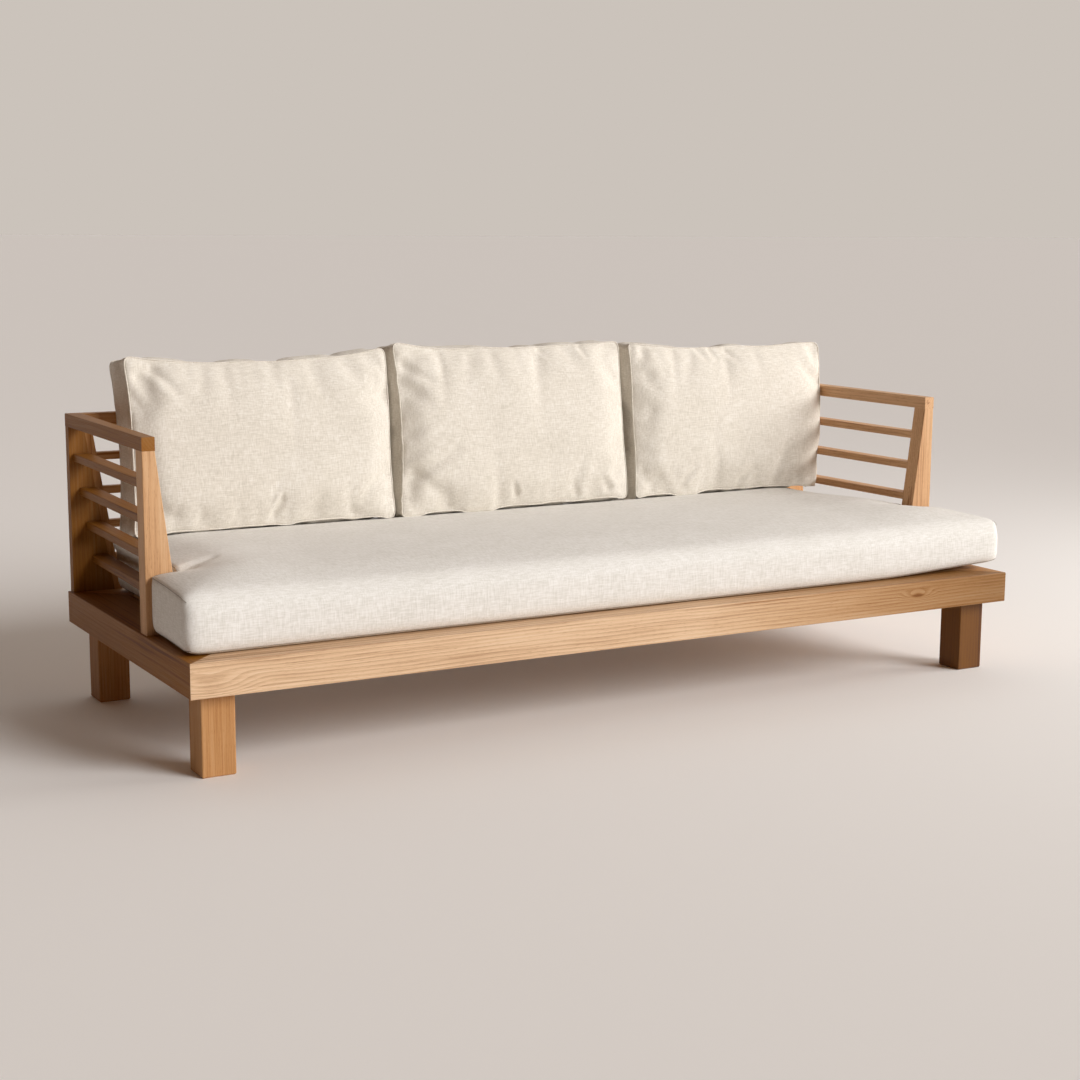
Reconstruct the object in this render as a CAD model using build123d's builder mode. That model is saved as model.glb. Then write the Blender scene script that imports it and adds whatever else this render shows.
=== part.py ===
from build123d import *
import math
import os

os.makedirs("parts", exist_ok=True)

# Daybed: a teak platform on block legs, slatted arms and back, one long seat cushion cut round
# the arms, and three loose back cushions. Millimetres. +X runs along the length, +Y to the
# back, +Z up. The origin is on the floor under the middle of the platform.

# platform
length = 2330.0
depth = 930.0
platform_top = 271.0
beam_height = 80.0
beam_width = 125.0
edge_round = 2.0

# legs
leg_size = 80.0
leg_inset_x = 37.0
leg_inset_y = 44.0
leg_round = 3.5
leg_chamfer = 3.0
bolt_radius = 5.0
bolt_in_leg = 50.0
bolt_in_beam = 28.0
bolt_edge = 20.0

# mitre keys, one loose tongue across each corner of the platform
key_length = 56.0
key_width = 56.0
key_thickness = 14.0
key_drop = 33.0
key_gap = 2.0

# deck
deck_count = 11
deck_width = 125.0
deck_thickness = 20.0
deck_end_gap = 1.0
ledger_size = 30.0
cross_width = 50.0
cross_height = 30.0
cross_tongue_width = 25.0
cross_tongue_height = 15.0
cross_spacing = 740.0
screw_radius = 2.5
screw_head_radius = 5.0
screw_head_height = 3.0
screw_in_wood = 22.0
screw_pitch = 70.0
ledger_screw_count = 7

# arms
arm_top = 727.0
arm_setback = 312.0
arm_inset = 7.0
rail_height = 32.0
arm_rail_front = 31.0
arm_rail_rear = 38.0
front_post_thickness = 45.0
front_post_top = 30.5
front_post_foot = 83.0
rear_post_thickness = 28.0
rear_post_top = 39.0
rear_post_foot = 106.0
slat_count = 4
slat_thickness = 19.5
slat_gap = 68.0
slat_width_front = 37.0
slat_width_rear = 41.0

# back
stile_width = 20.0
back_slat_depth = 20.0
back_post_width = 40.0
back_post_spacing = 776.0

# joinery
fit = 0.15
tongue_end_gap = 1.0
slat_tongue_width = 20.0
slat_tongue_height = 9.0
slat_tongue_front = 25.0
slat_tongue_rear = 14.0
back_tongue_length = 9.0
post_tongue_depth = 34.0
post_tongue_width = 50.0
rear_tongue_edge = 20.0
back_post_tongue_width = 26.0
stile_tongue_depth = 17.0
front_tongue_thickness = 20.0
rear_tongue_thickness = 14.0
stile_tongue_width = 12.0
dowel_radius = 4.0
dowel_half = 18.0
dowel_share = 0.25  # how far each of two dowels stands from the middle, as a share of the wood

# cushions
cover_wall = 2.0
cushion_rest = 0.5
seat_thickness = 146.0
seat_front_gap = 45.0
seat_left_gap = 30.0
seat_right_gap = 4.0
seat_arm_gap = 8.0
seat_slat_gap = 6.0
seat_rear_gap = 10.0
seat_corner_round = 28.0
seat_edge_round = 26.0
back_cushion_width = 715.0
back_cushion_thickness = 130.0
back_cushion_height = 448.0
back_cushion_lean = 7.0
back_cushion_round = 24.0
back_cushion_gap = 1.0
back_cushion_side_gap = 4.0
left_cushion_x = -702.0
middle_cushion_x = 28.0
right_cushion_x = 765.0

# places worked out from the sizes above
half_length = length / 2
front = -depth / 2
rear = depth / 2
beam_bottom = platform_top - beam_height
beam_in_x = half_length - beam_width
beam_in_front = front + beam_width
beam_in_rear = rear - beam_width
deck_bottom = platform_top - deck_thickness
rail_bottom = arm_top - rail_height
arm_outer = -half_length + arm_inset
arm_front = front + arm_setback
slat_front = arm_front + front_post_thickness
slat_rear = rear - rear_post_thickness
post_height = rail_bottom - platform_top


def front_edge(z):
    # inner edge of the left front post, which widens towards its foot
    share = (rail_bottom - z) / post_height
    return arm_outer + front_post_top + (front_post_foot - front_post_top) * share


def rear_edge(z):
    share = (rail_bottom - z) / post_height
    return arm_outer + rear_post_top + (rear_post_foot - rear_post_top) * share


def slat_middle(index):
    return rail_bottom - slat_gap - slat_thickness / 2 - index * (slat_gap + slat_thickness)


def save(piece, name):
    piece.part.label = name
    export_step(piece.part, "parts/" + name + ".step")


def mirrored(piece):
    # the same piece on the other side of the daybed's middle
    with BuildPart() as other:
        mirror(objects=piece.part, about=Plane.YZ)
    return other


def block(x, y, z, grow=0.0):
    # a box between three pairs of limits, grown on every side
    with BuildPart() as box:
        with BuildSketch(Plane.XY.offset(min(z) - grow)):
            Polygon(
                (min(x) - grow, min(y) - grow),
                (max(x) + grow, min(y) - grow),
                (max(x) + grow, max(y) + grow),
                (min(x) - grow, max(y) + grow),
                align=None,
            )
        extrude(amount=abs(z[1] - z[0]) + 2 * grow)
    return box.part


def peg(x, y, low, high, radius):
    with BuildPart() as rod:
        with BuildSketch(Plane.XY.offset(low)):
            with Locations((x, y)):
                Circle(radius)
        extrude(amount=high - low)
    return rod.part


# --- leg bolts: two in each leg, one each side of the corner's mitre ---

bolt_places = []
for side in (-1, 1):
    for end in (-1, 1):
        corner_x = side * (half_length - leg_inset_x)
        corner_y = end * (depth / 2 - leg_inset_y)
        far = leg_size - bolt_edge
        bolt_places.append((corner_x - side * bolt_edge, corner_y - end * far))
        bolt_places.append((corner_x - side * far, corner_y - end * bolt_edge))

with BuildPart() as leg_bolts:
    for spot in bolt_places:
        add(peg(spot[0], spot[1], beam_bottom - bolt_in_leg, beam_bottom + bolt_in_beam, bolt_radius))


def bolt_holes():
    low = beam_bottom - bolt_in_leg - tongue_end_gap
    high = beam_bottom + bolt_in_beam + tongue_end_gap
    for spot in bolt_places:
        add(peg(spot[0], spot[1], low, high, bolt_radius + fit), mode=Mode.SUBTRACT)


# --- mitre keys ---

key_middle = platform_top - key_drop
rear_tongue_inside = (rear_post_thickness + rear_tongue_thickness) / 2
key_from_edge = rear_tongue_inside + key_gap + (key_length + key_width) / 2 / math.sqrt(2)


def key_plate(side, end, grow):
    place = Plane(
        origin=(side * (half_length - key_from_edge), end * (depth / 2 - key_from_edge), key_middle),
        x_dir=(side, -end, 0),
        z_dir=(0, 0, 1),
    )
    with BuildPart() as plate:
        with BuildSketch(place.offset(-key_thickness / 2 - grow)):
            Rectangle(key_length + 2 * grow, key_width + 2 * grow)
        extrude(amount=key_thickness + 2 * grow)
    return plate.part


corners = [(side, end) for side in (-1, 1) for end in (-1, 1)]

with BuildPart() as corner_keys:
    for side, end in corners:
        add(key_plate(side, end, 0.0))

# --- posts' tongues: limits of each in x, and the thickness in y, before the platform is cut ---

foot_tongue_middle = arm_outer + front_post_foot / 2
front_post_middle = arm_front + front_post_thickness / 2
rear_post_middle = rear - rear_post_thickness / 2
rear_tongue_end = rear_edge(platform_top) - rear_tongue_edge
back_post_places = [-back_post_spacing / 2, back_post_spacing / 2]
stile_foot = rear_edge(platform_top) + stile_width / 2


def front_post_tongue(grow=0.0):
    half_width = post_tongue_width / 2
    half_thick = front_tongue_thickness / 2
    return block(
        (foot_tongue_middle - half_width, foot_tongue_middle + half_width),
        (front_post_middle - half_thick, front_post_middle + half_thick),
        (platform_top - post_tongue_depth, platform_top),
        grow,
    )


def rear_post_tongue(grow=0.0):
    half_thick = rear_tongue_thickness / 2
    return block(
        (rear_tongue_end - post_tongue_width, rear_tongue_end),
        (rear_post_middle - half_thick, rear_post_middle + half_thick),
        (platform_top - post_tongue_depth, platform_top),
        grow,
    )


def stile_tongue(grow=0.0):
    half_width = stile_tongue_width / 2
    half_thick = rear_tongue_thickness / 2
    return block(
        (stile_foot - half_width, stile_foot + half_width),
        (rear_post_middle - half_thick, rear_post_middle + half_thick),
        (platform_top - stile_tongue_depth, platform_top),
        grow,
    )


def back_post_tongue(x, grow=0.0):
    half_width = back_post_tongue_width / 2
    half_thick = rear_tongue_thickness / 2
    return block(
        (x - half_width, x + half_width),
        (rear_post_middle - half_thick, rear_post_middle + half_thick),
        (platform_top - post_tongue_depth, platform_top),
        grow,
    )


# --- cross rails under the deck, tongued into the long beams ---

cross_top = deck_bottom - ledger_size
cross_places = [-cross_spacing / 2, cross_spacing / 2]


def cross_tongue(x, end, grow=0.0):
    face = beam_in_front if end < 0 else beam_in_rear
    middle = cross_top - cross_height / 2
    return block(
        (x - cross_tongue_width / 2, x + cross_tongue_width / 2),
        (face, face + end * post_tongue_depth),
        (middle - cross_tongue_height / 2, middle + cross_tongue_height / 2),
        grow,
    )


cross_rails = []
for x in cross_places:
    with BuildPart() as cross_rail:
        add(
            block(
                (x - cross_width / 2, x + cross_width / 2),
                (beam_in_front, beam_in_rear),
                (cross_top - cross_height, cross_top),
            )
        )
        add(cross_tongue(x, -1))
        add(cross_tongue(x, 1))
    cross_rails.append(cross_rail)

# --- ledgers that carry the deck slats ---


def screw(place, head_height, length_in):
    # a countersunk screw whose head's face lies in the place's plane
    with BuildPart() as whole:
        with BuildSketch(place):
            Circle(screw_head_radius)
        with BuildSketch(place.offset(-head_height)):
            Circle(screw_radius)
        loft()
        with BuildSketch(place.offset(-length_in)):
            Circle(screw_radius)
        extrude(amount=length_in - head_height)
    return whole.part


deck_pitch = (2 * beam_in_x - deck_count * deck_width) / (deck_count + 1) + deck_width
deck_places = [(i - (deck_count - 1) / 2) * deck_pitch for i in range(deck_count)]
ledger_front_middle = beam_in_front + ledger_size / 2
ledger_rear_middle = beam_in_rear - ledger_size / 2

deck_screw_spots = []
for x in deck_places:
    for y in (ledger_front_middle, ledger_rear_middle):
        deck_screw_spots.append((x - screw_pitch / 2, y))
        deck_screw_spots.append((x + screw_pitch / 2, y))


def deck_screw_solids():
    for spot in deck_screw_spots:
        place = Plane.XY.offset(platform_top).move(Location((spot[0], spot[1], 0)))
        yield screw(place, screw_head_height, deck_thickness + screw_in_wood)


ledger_screw_pitch = 2 * beam_in_x / ledger_screw_count
ledger_screw_x = [(i - (ledger_screw_count - 1) / 2) * ledger_screw_pitch for i in range(ledger_screw_count)]
ledger_screw_z = deck_bottom - ledger_size / 2


def ledger_screw_solids(end):
    face = beam_in_front + ledger_size if end < 0 else beam_in_rear - ledger_size
    for x in ledger_screw_x:
        place = Plane(origin=(x, face, ledger_screw_z), x_dir=(1, 0, 0), z_dir=(0, -end, 0))
        yield screw(place, screw_head_height, ledger_size + screw_in_wood)


with BuildPart() as deck_screws:
    for solid in deck_screw_solids():
        add(solid)

with BuildPart() as ledger_screws:
    for end in (-1, 1):
        for solid in ledger_screw_solids(end):
            add(solid)

ledgers = {}
for end in (-1, 1):
    wall = beam_in_front if end < 0 else beam_in_rear
    with BuildPart() as ledger:
        add(
            block(
                (-beam_in_x, beam_in_x),
                (wall, wall - end * ledger_size),
                (deck_bottom - ledger_size, deck_bottom),
            )
        )
        add(deck_screws.part, mode=Mode.SUBTRACT)
        add(ledger_screws.part, mode=Mode.SUBTRACT)
    ledgers[end] = ledger

# --- platform beams, mitred at the corners ---

long_beams = {}
for end in (-1, 1):
    outer_y = end * depth / 2
    inner_y = outer_y - end * beam_width
    with BuildPart() as long_beam:
        with BuildSketch(Plane.XY.offset(beam_bottom)):
            Polygon(
                (-half_length, outer_y),
                (half_length, outer_y),
                (beam_in_x, inner_y),
                (-beam_in_x, inner_y),
                align=None,
            )
        extrude(amount=beam_height)
        outer_edges = long_beam.edges().filter_by(Axis.X).group_by(Axis.Y)[0 if end < 0 else -1]
        fillet(outer_edges, edge_round)
        for side in (-1, 1):
            add(key_plate(side, end, fit), mode=Mode.SUBTRACT)
        bolt_holes()
        for x in cross_places:
            add(cross_tongue(x, end, fit), mode=Mode.SUBTRACT)
        add(ledger_screws.part, mode=Mode.SUBTRACT)
        if end > 0:
            for x in back_post_places:
                add(back_post_tongue(x, fit), mode=Mode.SUBTRACT)
            for tongue in (rear_post_tongue(fit), stile_tongue(fit)):
                add(tongue, mode=Mode.SUBTRACT)
                mirror(objects=tongue, about=Plane.YZ, mode=Mode.SUBTRACT)
    long_beams[end] = long_beam

with BuildPart() as left_beam:
    with BuildSketch(Plane.XY.offset(beam_bottom)):
        Polygon(
            (-half_length, front),
            (-beam_in_x, beam_in_front),
            (-beam_in_x, beam_in_rear),
            (-half_length, rear),
            align=None,
        )
    extrude(amount=beam_height)
    fillet(left_beam.edges().filter_by(Axis.Y).group_by(Axis.X)[0], edge_round)
    for end in (-1, 1):
        add(key_plate(-1, end, fit), mode=Mode.SUBTRACT)
    bolt_holes()
    add(front_post_tongue(fit), mode=Mode.SUBTRACT)

right_beam = mirrored(left_beam)

# --- legs ---

legs = {}
for side, end in corners:
    centre_x = side * (half_length - leg_inset_x - leg_size / 2)
    centre_y = end * (depth / 2 - leg_inset_y - leg_size / 2)
    with BuildPart() as leg:
        with BuildSketch():
            with Locations((centre_x, centre_y)):
                Rectangle(leg_size, leg_size)
        extrude(amount=beam_bottom)
        fillet(leg.edges().filter_by(Axis.Z), leg_round)
        chamfer(leg.faces().sort_by(Axis.Z)[0].edges(), leg_chamfer)
        bolt_holes()
    legs[(side, end)] = leg

# --- deck slats ---

deck_slats = []
for x in deck_places:
    with BuildPart() as deck_slat:
        with BuildSketch(Plane.XY.offset(deck_bottom)):
            with Locations((x, 0)):
                Rectangle(deck_width, depth - 2 * beam_width - 2 * deck_end_gap)
        extrude(amount=deck_thickness)
        fillet(deck_slat.faces().sort_by(Axis.Z)[-1].edges().filter_by(Axis.Y), edge_round)
        add(deck_screws.part, mode=Mode.SUBTRACT)
    deck_slats.append(deck_slat)

# --- dowels that hold the rails on the posts and the rails' mitred rear corners ---

dowel_spots = []
front_dowel_x = arm_outer + front_post_top / 2
rear_dowel_y = rear - rear_post_thickness / 2
aside_x = arm_rail_rear * dowel_share
aside_y = rear_post_thickness * dowel_share
for side in (-1, 1):
    for step in (-1, 1):
        spot_y = front_post_middle + step * front_post_thickness * dowel_share
        dowel_spots.append((-side * front_dowel_x, spot_y))
    corner_x = -side * (arm_outer + arm_rail_rear / 2)
    dowel_spots.append((corner_x + side * aside_x, rear_dowel_y - aside_y))
    dowel_spots.append((corner_x - side * aside_x, rear_dowel_y + aside_y))
    stile_x = -side * (rear_edge(rail_bottom) + stile_width / 2)
    dowel_spots.append((stile_x, rear_dowel_y))
for x in back_post_places:
    for step in (-1, 1):
        dowel_spots.append((x + step * back_post_width * dowel_share, rear_dowel_y))

with BuildPart() as rail_dowels:
    for spot in dowel_spots:
        add(peg(spot[0], spot[1], rail_bottom - dowel_half, rail_bottom + dowel_half, dowel_radius))


def dowel_holes():
    reach = dowel_half + tongue_end_gap
    for spot in dowel_spots:
        hole = peg(spot[0], spot[1], rail_bottom - reach, rail_bottom + reach, dowel_radius + fit)
        add(hole, mode=Mode.SUBTRACT)


# --- arm slats, each with a tongue into both posts ---


def slat_tongues(index, grow=0.0):
    z = slat_middle(index)
    tall = (z - slat_tongue_height / 2, z + slat_tongue_height / 2)
    front_x = front_edge(z) - slat_width_front / 2
    rear_x = rear_edge(z) - slat_width_rear / 2
    half = slat_tongue_width / 2
    front_tongue = block(
        (front_x - half, front_x + half),
        (slat_front - slat_tongue_front, slat_front),
        tall,
        grow,
    )
    rear_tongue = block(
        (rear_x - half, rear_x + half),
        (slat_rear, slat_rear + slat_tongue_rear),
        tall,
        grow,
    )
    return front_tongue, rear_tongue


left_slats = []
for index in range(slat_count):
    middle = slat_middle(index)
    front_inner = front_edge(middle)
    rear_inner = rear_edge(middle)
    with BuildPart() as arm_slat:
        with BuildSketch(Plane.XY.offset(middle - slat_thickness / 2)):
            Polygon(
                (front_inner - slat_width_front, slat_front),
                (front_inner, slat_front),
                (rear_inner, slat_rear),
                (rear_inner - slat_width_rear, slat_rear),
                align=None,
            )
        extrude(amount=slat_thickness)
        long_edges = arm_slat.faces().filter_by(Axis.Z).edges().filter_by(lambda e: e.length > slat_width_rear)
        fillet(long_edges, edge_round)
        for tongue in slat_tongues(index):
            add(tongue)
    left_slats.append(arm_slat)

# --- arm posts and rails ---

with BuildPart() as left_front_post:
    with BuildSketch(Plane.XZ.offset(-arm_front)):
        Polygon(
            (arm_outer, platform_top),
            (arm_outer + front_post_foot, platform_top),
            (arm_outer + front_post_top, rail_bottom),
            (arm_outer, rail_bottom),
            align=None,
        )
    extrude(amount=-front_post_thickness)
    upright = left_front_post.faces().sort_by(Axis.Y)[0].edges().filter_by(lambda e: e.length > post_height / 2)
    fillet(upright, edge_round)
    add(front_post_tongue())
    for index in range(slat_count):
        add(slat_tongues(index, fit)[0], mode=Mode.SUBTRACT)
    dowel_holes()

with BuildPart() as left_rear_post:
    with BuildSketch(Plane.XZ.offset(-slat_rear)):
        Polygon(
            (arm_outer, platform_top),
            (arm_outer + rear_post_foot, platform_top),
            (arm_outer + rear_post_top, rail_bottom),
            (arm_outer, rail_bottom),
            align=None,
        )
    extrude(amount=-rear_post_thickness)
    outer_corner = left_rear_post.faces().sort_by(Axis.X)[0].edges().filter_by(Axis.Z).sort_by(Axis.Y)[-1]
    fillet(outer_corner, edge_round)
    add(rear_post_tongue())
    for index in range(slat_count):
        add(slat_tongues(index, fit)[1], mode=Mode.SUBTRACT)
    dowel_holes()

with BuildPart() as left_arm_rail:
    with BuildSketch(Plane.XY.offset(rail_bottom)):
        Polygon(
            (arm_outer, arm_front),
            (arm_outer + arm_rail_front, arm_front),
            (arm_outer + arm_rail_rear, slat_rear),
            (arm_outer, rear),
            align=None,
        )
    extrude(amount=rail_height)
    top_edges = left_arm_rail.faces().sort_by(Axis.Z)[-1].edges()
    fillet(top_edges.sort_by(Axis.Y)[0:-1], edge_round)
    dowel_holes()

# --- back: top rail, end stiles, middle posts and slats ---

with BuildPart() as back_rail:
    with BuildSketch(Plane.XY.offset(rail_bottom)):
        Polygon(
            (arm_outer, rear),
            (arm_outer + arm_rail_rear, slat_rear),
            (-arm_outer - arm_rail_rear, slat_rear),
            (-arm_outer, rear),
            align=None,
        )
    extrude(amount=rail_height)
    fillet(back_rail.faces().sort_by(Axis.Z)[-1].edges().filter_by(Axis.X), edge_round)
    dowel_holes()


def back_slat_end(z):
    return rear_edge(z) + stile_width


def back_tongue(index, grow=0.0):
    z = slat_middle(index)
    shoulder = back_slat_end(z + slat_thickness / 2)
    middle_y = slat_rear + back_slat_depth / 2
    return block(
        (shoulder - back_tongue_length, back_slat_end(z)),
        (middle_y - slat_tongue_height / 2, middle_y + slat_tongue_height / 2),
        (z - slat_tongue_height / 2, z + slat_tongue_height / 2),
        grow,
    )


back_slats = []
for index in range(slat_count):
    low = slat_middle(index) - slat_thickness / 2
    high = slat_middle(index) + slat_thickness / 2
    with BuildPart() as back_slat:
        with BuildSketch(Plane.XZ.offset(-slat_rear)):
            Polygon(
                (back_slat_end(low), low),
                (-back_slat_end(low), low),
                (-back_slat_end(high), high),
                (back_slat_end(high), high),
                align=None,
            )
        extrude(amount=-back_slat_depth)
        add(back_tongue(index))
        mirror(objects=back_tongue(index), about=Plane.YZ)
    back_slats.append(back_slat)

with BuildPart() as left_end_stile:
    with BuildSketch(Plane.XZ.offset(-slat_rear)):
        Polygon(
            (rear_edge(platform_top), platform_top),
            (back_slat_end(platform_top), platform_top),
            (back_slat_end(rail_bottom), rail_bottom),
            (rear_edge(rail_bottom), rail_bottom),
            align=None,
        )
    extrude(amount=-rear_post_thickness)
    add(stile_tongue())
    for index in range(slat_count):
        add(back_tongue(index, fit), mode=Mode.SUBTRACT)
    dowel_holes()

back_posts = []
for x in back_post_places:
    with BuildPart() as back_post:
        add(
            block(
                (x - back_post_width / 2, x + back_post_width / 2),
                (slat_rear, rear),
                (platform_top, rail_bottom),
            )
        )
        add(back_post_tongue(x))
        for index in range(slat_count):
            add(
                block(
                    (x - back_post_width, x + back_post_width),
                    (slat_rear - edge_round, slat_rear + back_slat_depth),
                    (slat_middle(index) - slat_thickness / 2, slat_middle(index) + slat_thickness / 2),
                    fit,
                ),
                mode=Mode.SUBTRACT,
            )
        dowel_holes()
    back_posts.append(back_post)

# --- seat cushion: a full-width front, and a body that fits between the arms ---

seat_low = platform_top + cushion_rest
seat_top = seat_low + seat_thickness
seat_front = front + seat_front_gap
seat_step = arm_front - seat_arm_gap
seat_rear = slat_rear - seat_rear_gap
seat_left = -half_length + seat_left_gap
seat_right = half_length - seat_right_gap
lowest_slat = slat_middle(slat_count - 1)
seat_body_half = -rear_edge(lowest_slat) - seat_slat_gap


near = 3 * cover_wall  # how far from the step's corner an edge may lie and still be at it


def seat_solid(inset):
    with BuildPart() as cushion:
        with BuildSketch(Plane.XY.offset(seat_low + inset)):
            Polygon(
                (seat_left, seat_front),
                (seat_right, seat_front),
                (seat_right, seat_step),
                (seat_body_half, seat_step),
                (seat_body_half, seat_rear),
                (-seat_body_half, seat_rear),
                (-seat_body_half, seat_step),
                (seat_left, seat_step),
                align=None,
            )
            offset(amount=-inset, kind=Kind.INTERSECTION)
        extrude(amount=seat_thickness - 2 * inset)
        uprights = cushion.edges().filter_by(Axis.Z)
        inner_corners = uprights.filter_by(lambda e: abs(e.center().Y - seat_step) < near)
        inner_corners = inner_corners.filter_by(lambda e: abs(e.center().X) < seat_body_half + near)
        fillet(uprights - inner_corners, seat_corner_round - inset)
    return cushion.part


with BuildPart() as seat_cover:
    add(seat_solid(0.0))
    rims = seat_cover.faces().filter_by(Axis.Z).edges()
    fillet(rims, seat_edge_round)
    seat_outer = seat_cover.part

with BuildPart() as seat_filling:
    add(seat_solid(cover_wall))
    rims = seat_filling.faces().filter_by(Axis.Z).edges()
    fillet(rims, seat_edge_round - cover_wall)

with BuildPart() as seat_cover_shell:
    add(seat_outer)
    add(seat_filling.part, mode=Mode.SUBTRACT)

with BuildPart() as seat_core_front:
    add(seat_filling.part)
    split(bisect_by=Plane.XZ.offset(-seat_step + cover_wall), keep=Keep.TOP)

with BuildPart() as seat_core_rear:
    add(seat_filling.part)
    split(bisect_by=Plane.XZ.offset(-seat_step + cover_wall), keep=Keep.BOTTOM)

# --- back cushions: boxed cushions that lean on the back rail ---

cushion_low = seat_top + cushion_rest
cushion_high = cushion_low + back_cushion_height
lean = math.tan(math.radians(back_cushion_lean))
rest_height = rail_bottom + rail_height / 2


def cushion_back_face(z):
    # the back face touches the plane of the slats at the rail and leans past it above
    return slat_rear - back_cushion_gap - lean * rail_height / 2 + lean * (z - rest_height)


def arm_room(z):
    # half the clear width between the arms where the cushions sit
    return -rear_edge(min(z, rail_bottom)) - back_cushion_side_gap


def cushion_solid(middle, inset):
    half = back_cushion_width / 2 - inset
    low = cushion_low + inset
    high = cushion_high - inset
    slope = inset / math.cos(math.radians(back_cushion_lean))
    with BuildPart() as cushion:
        with BuildSketch(Plane.YZ.offset(middle - half)):
            Polygon(
                (cushion_back_face(low) - back_cushion_thickness + slope, low),
                (cushion_back_face(low) - slope, low),
                (cushion_back_face(high) - slope, high),
                (cushion_back_face(high) - back_cushion_thickness + slope, high),
                align=None,
            )
        extrude(amount=2 * half)
        with BuildSketch(Plane.XZ.offset(-depth)):
            Polygon(
                (-arm_room(low) + inset, low - inset),
                (arm_room(low) - inset, low - inset),
                (arm_room(rail_bottom) - inset, rail_bottom),
                (arm_room(rail_bottom) - inset, high + inset),
                (-arm_room(rail_bottom) + inset, high + inset),
                (-arm_room(rail_bottom) + inset, rail_bottom),
                align=None,
            )
        extrude(amount=2 * depth, mode=Mode.INTERSECT)
        fillet(cushion.edges(), back_cushion_round - inset)
    return cushion.part


back_cushions = {
    "left": left_cushion_x,
    "middle": middle_cushion_x,
    "right": right_cushion_x,
}

# --- write the pieces ---

save(long_beams[-1], "front_beam")
save(long_beams[1], "rear_beam")
save(left_beam, "left_beam")
save(right_beam, "right_beam")
save(corner_keys, "corner_keys")
for side, end in corners:
    leg_name = ("front" if end < 0 else "rear") + ("_left" if side < 0 else "_right") + "_leg"
    save(legs[(side, end)], leg_name)
save(leg_bolts, "leg_bolts")
save(ledgers[-1], "front_ledger")
save(ledgers[1], "rear_ledger")
save(ledger_screws, "ledger_screws")
save(cross_rails[0], "left_cross_rail")
save(cross_rails[1], "right_cross_rail")
for number, deck_slat in enumerate(deck_slats, 1):
    save(deck_slat, f"deck_slat_{number:02d}")
save(deck_screws, "deck_screws")

save(left_front_post, "left_front_post")
save(mirrored(left_front_post), "right_front_post")
save(left_rear_post, "left_rear_post")
save(mirrored(left_rear_post), "right_rear_post")
save(left_arm_rail, "left_arm_rail")
save(mirrored(left_arm_rail), "right_arm_rail")
for number, arm_slat in enumerate(left_slats, 1):
    save(arm_slat, f"left_arm_slat_{number}")
    save(mirrored(arm_slat), f"right_arm_slat_{number}")

save(back_rail, "back_rail")
save(left_end_stile, "left_end_stile")
save(mirrored(left_end_stile), "right_end_stile")
save(back_posts[0], "left_back_post")
save(back_posts[1], "right_back_post")
for number, back_slat in enumerate(back_slats, 1):
    save(back_slat, f"back_slat_{number}")
save(rail_dowels, "rail_dowels")

save(seat_cover_shell, "seat_cover")
save(seat_core_front, "seat_core_front")
save(seat_core_rear, "seat_core_rear")
for place, middle in back_cushions.items():
    with BuildPart() as core:
        add(cushion_solid(middle, cover_wall))
    with BuildPart() as cover:
        add(cushion_solid(middle, 0.0))
        add(core.part, mode=Mode.SUBTRACT)
    save(cover, "back_cover_" + place)
    save(core, "back_core_" + place)
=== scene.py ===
import bmesh
import bpy
import math
from mathutils import Euler, Matrix, Vector, noise


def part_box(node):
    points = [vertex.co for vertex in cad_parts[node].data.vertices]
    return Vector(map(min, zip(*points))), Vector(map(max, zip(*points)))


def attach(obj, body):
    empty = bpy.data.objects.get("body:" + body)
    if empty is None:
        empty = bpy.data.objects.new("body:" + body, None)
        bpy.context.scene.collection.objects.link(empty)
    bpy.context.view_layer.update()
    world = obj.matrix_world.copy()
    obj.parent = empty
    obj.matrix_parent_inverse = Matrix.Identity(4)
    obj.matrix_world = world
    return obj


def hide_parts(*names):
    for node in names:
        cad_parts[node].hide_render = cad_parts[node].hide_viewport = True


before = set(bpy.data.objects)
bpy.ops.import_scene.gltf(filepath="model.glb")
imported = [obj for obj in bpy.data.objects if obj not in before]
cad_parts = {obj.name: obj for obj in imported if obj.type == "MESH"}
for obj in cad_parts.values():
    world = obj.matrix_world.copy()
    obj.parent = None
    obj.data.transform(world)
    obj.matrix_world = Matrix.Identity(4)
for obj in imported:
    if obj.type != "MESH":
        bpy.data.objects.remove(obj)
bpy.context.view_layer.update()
scene = bpy.context.scene
print("frame loaded:", len(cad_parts), "nodes")

# places that the frame gives

seatLow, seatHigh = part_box("seat_cover")
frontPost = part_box("left_front_post")
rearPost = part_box("left_rear_post")
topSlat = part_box("left_arm_slat_1")
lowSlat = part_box("left_arm_slat_4")
railLow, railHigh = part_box("back_rail")
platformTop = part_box("front_beam")[1].z
slatPlane = railLow.y        # front faces of the back's slats, stiles and rail
tiny = 1e-5                  # metres: places closer than this are the same place


def addNode(tree, kind, settings=None, inputs=None):
    # one node, its own settings, and its inputs: a value, or another node's socket
    made = tree.nodes.new(kind)
    for name, value in (settings or {}).items():
        setattr(made, name, value)
    for name, value in (inputs or {}).items():
        if isinstance(value, bpy.types.NodeSocket):
            tree.links.new(value, made.inputs[name])
        else:
            made.inputs[name].default_value = value
    return made


def maths(tree, operation, *values):
    # one sum; each value is a number or another node's socket
    made = addNode(tree, "ShaderNodeMath", {"operation": operation}, dict(enumerate(values)))
    return made.outputs["Value"]


def colour(hexValue):
    # sRGB hex to the linear values that shaders use
    parts = [int(hexValue[i:i + 2], 16) / 255 for i in (0, 2, 4)]
    linear = [p / 12.92 if p <= 0.04045 else ((p + 0.055) / 1.055) ** 2.4 for p in parts]
    return (*linear, 1.0)


def setRamp(ramp, stops):
    # stops: position and hex colour
    points = ramp.color_ramp.elements
    while len(points) < len(stops):
        points.new(0.5)
    for point, (place, hexValue) in zip(points, stops):
        point.position = place
        point.color = colour(hexValue)


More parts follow.
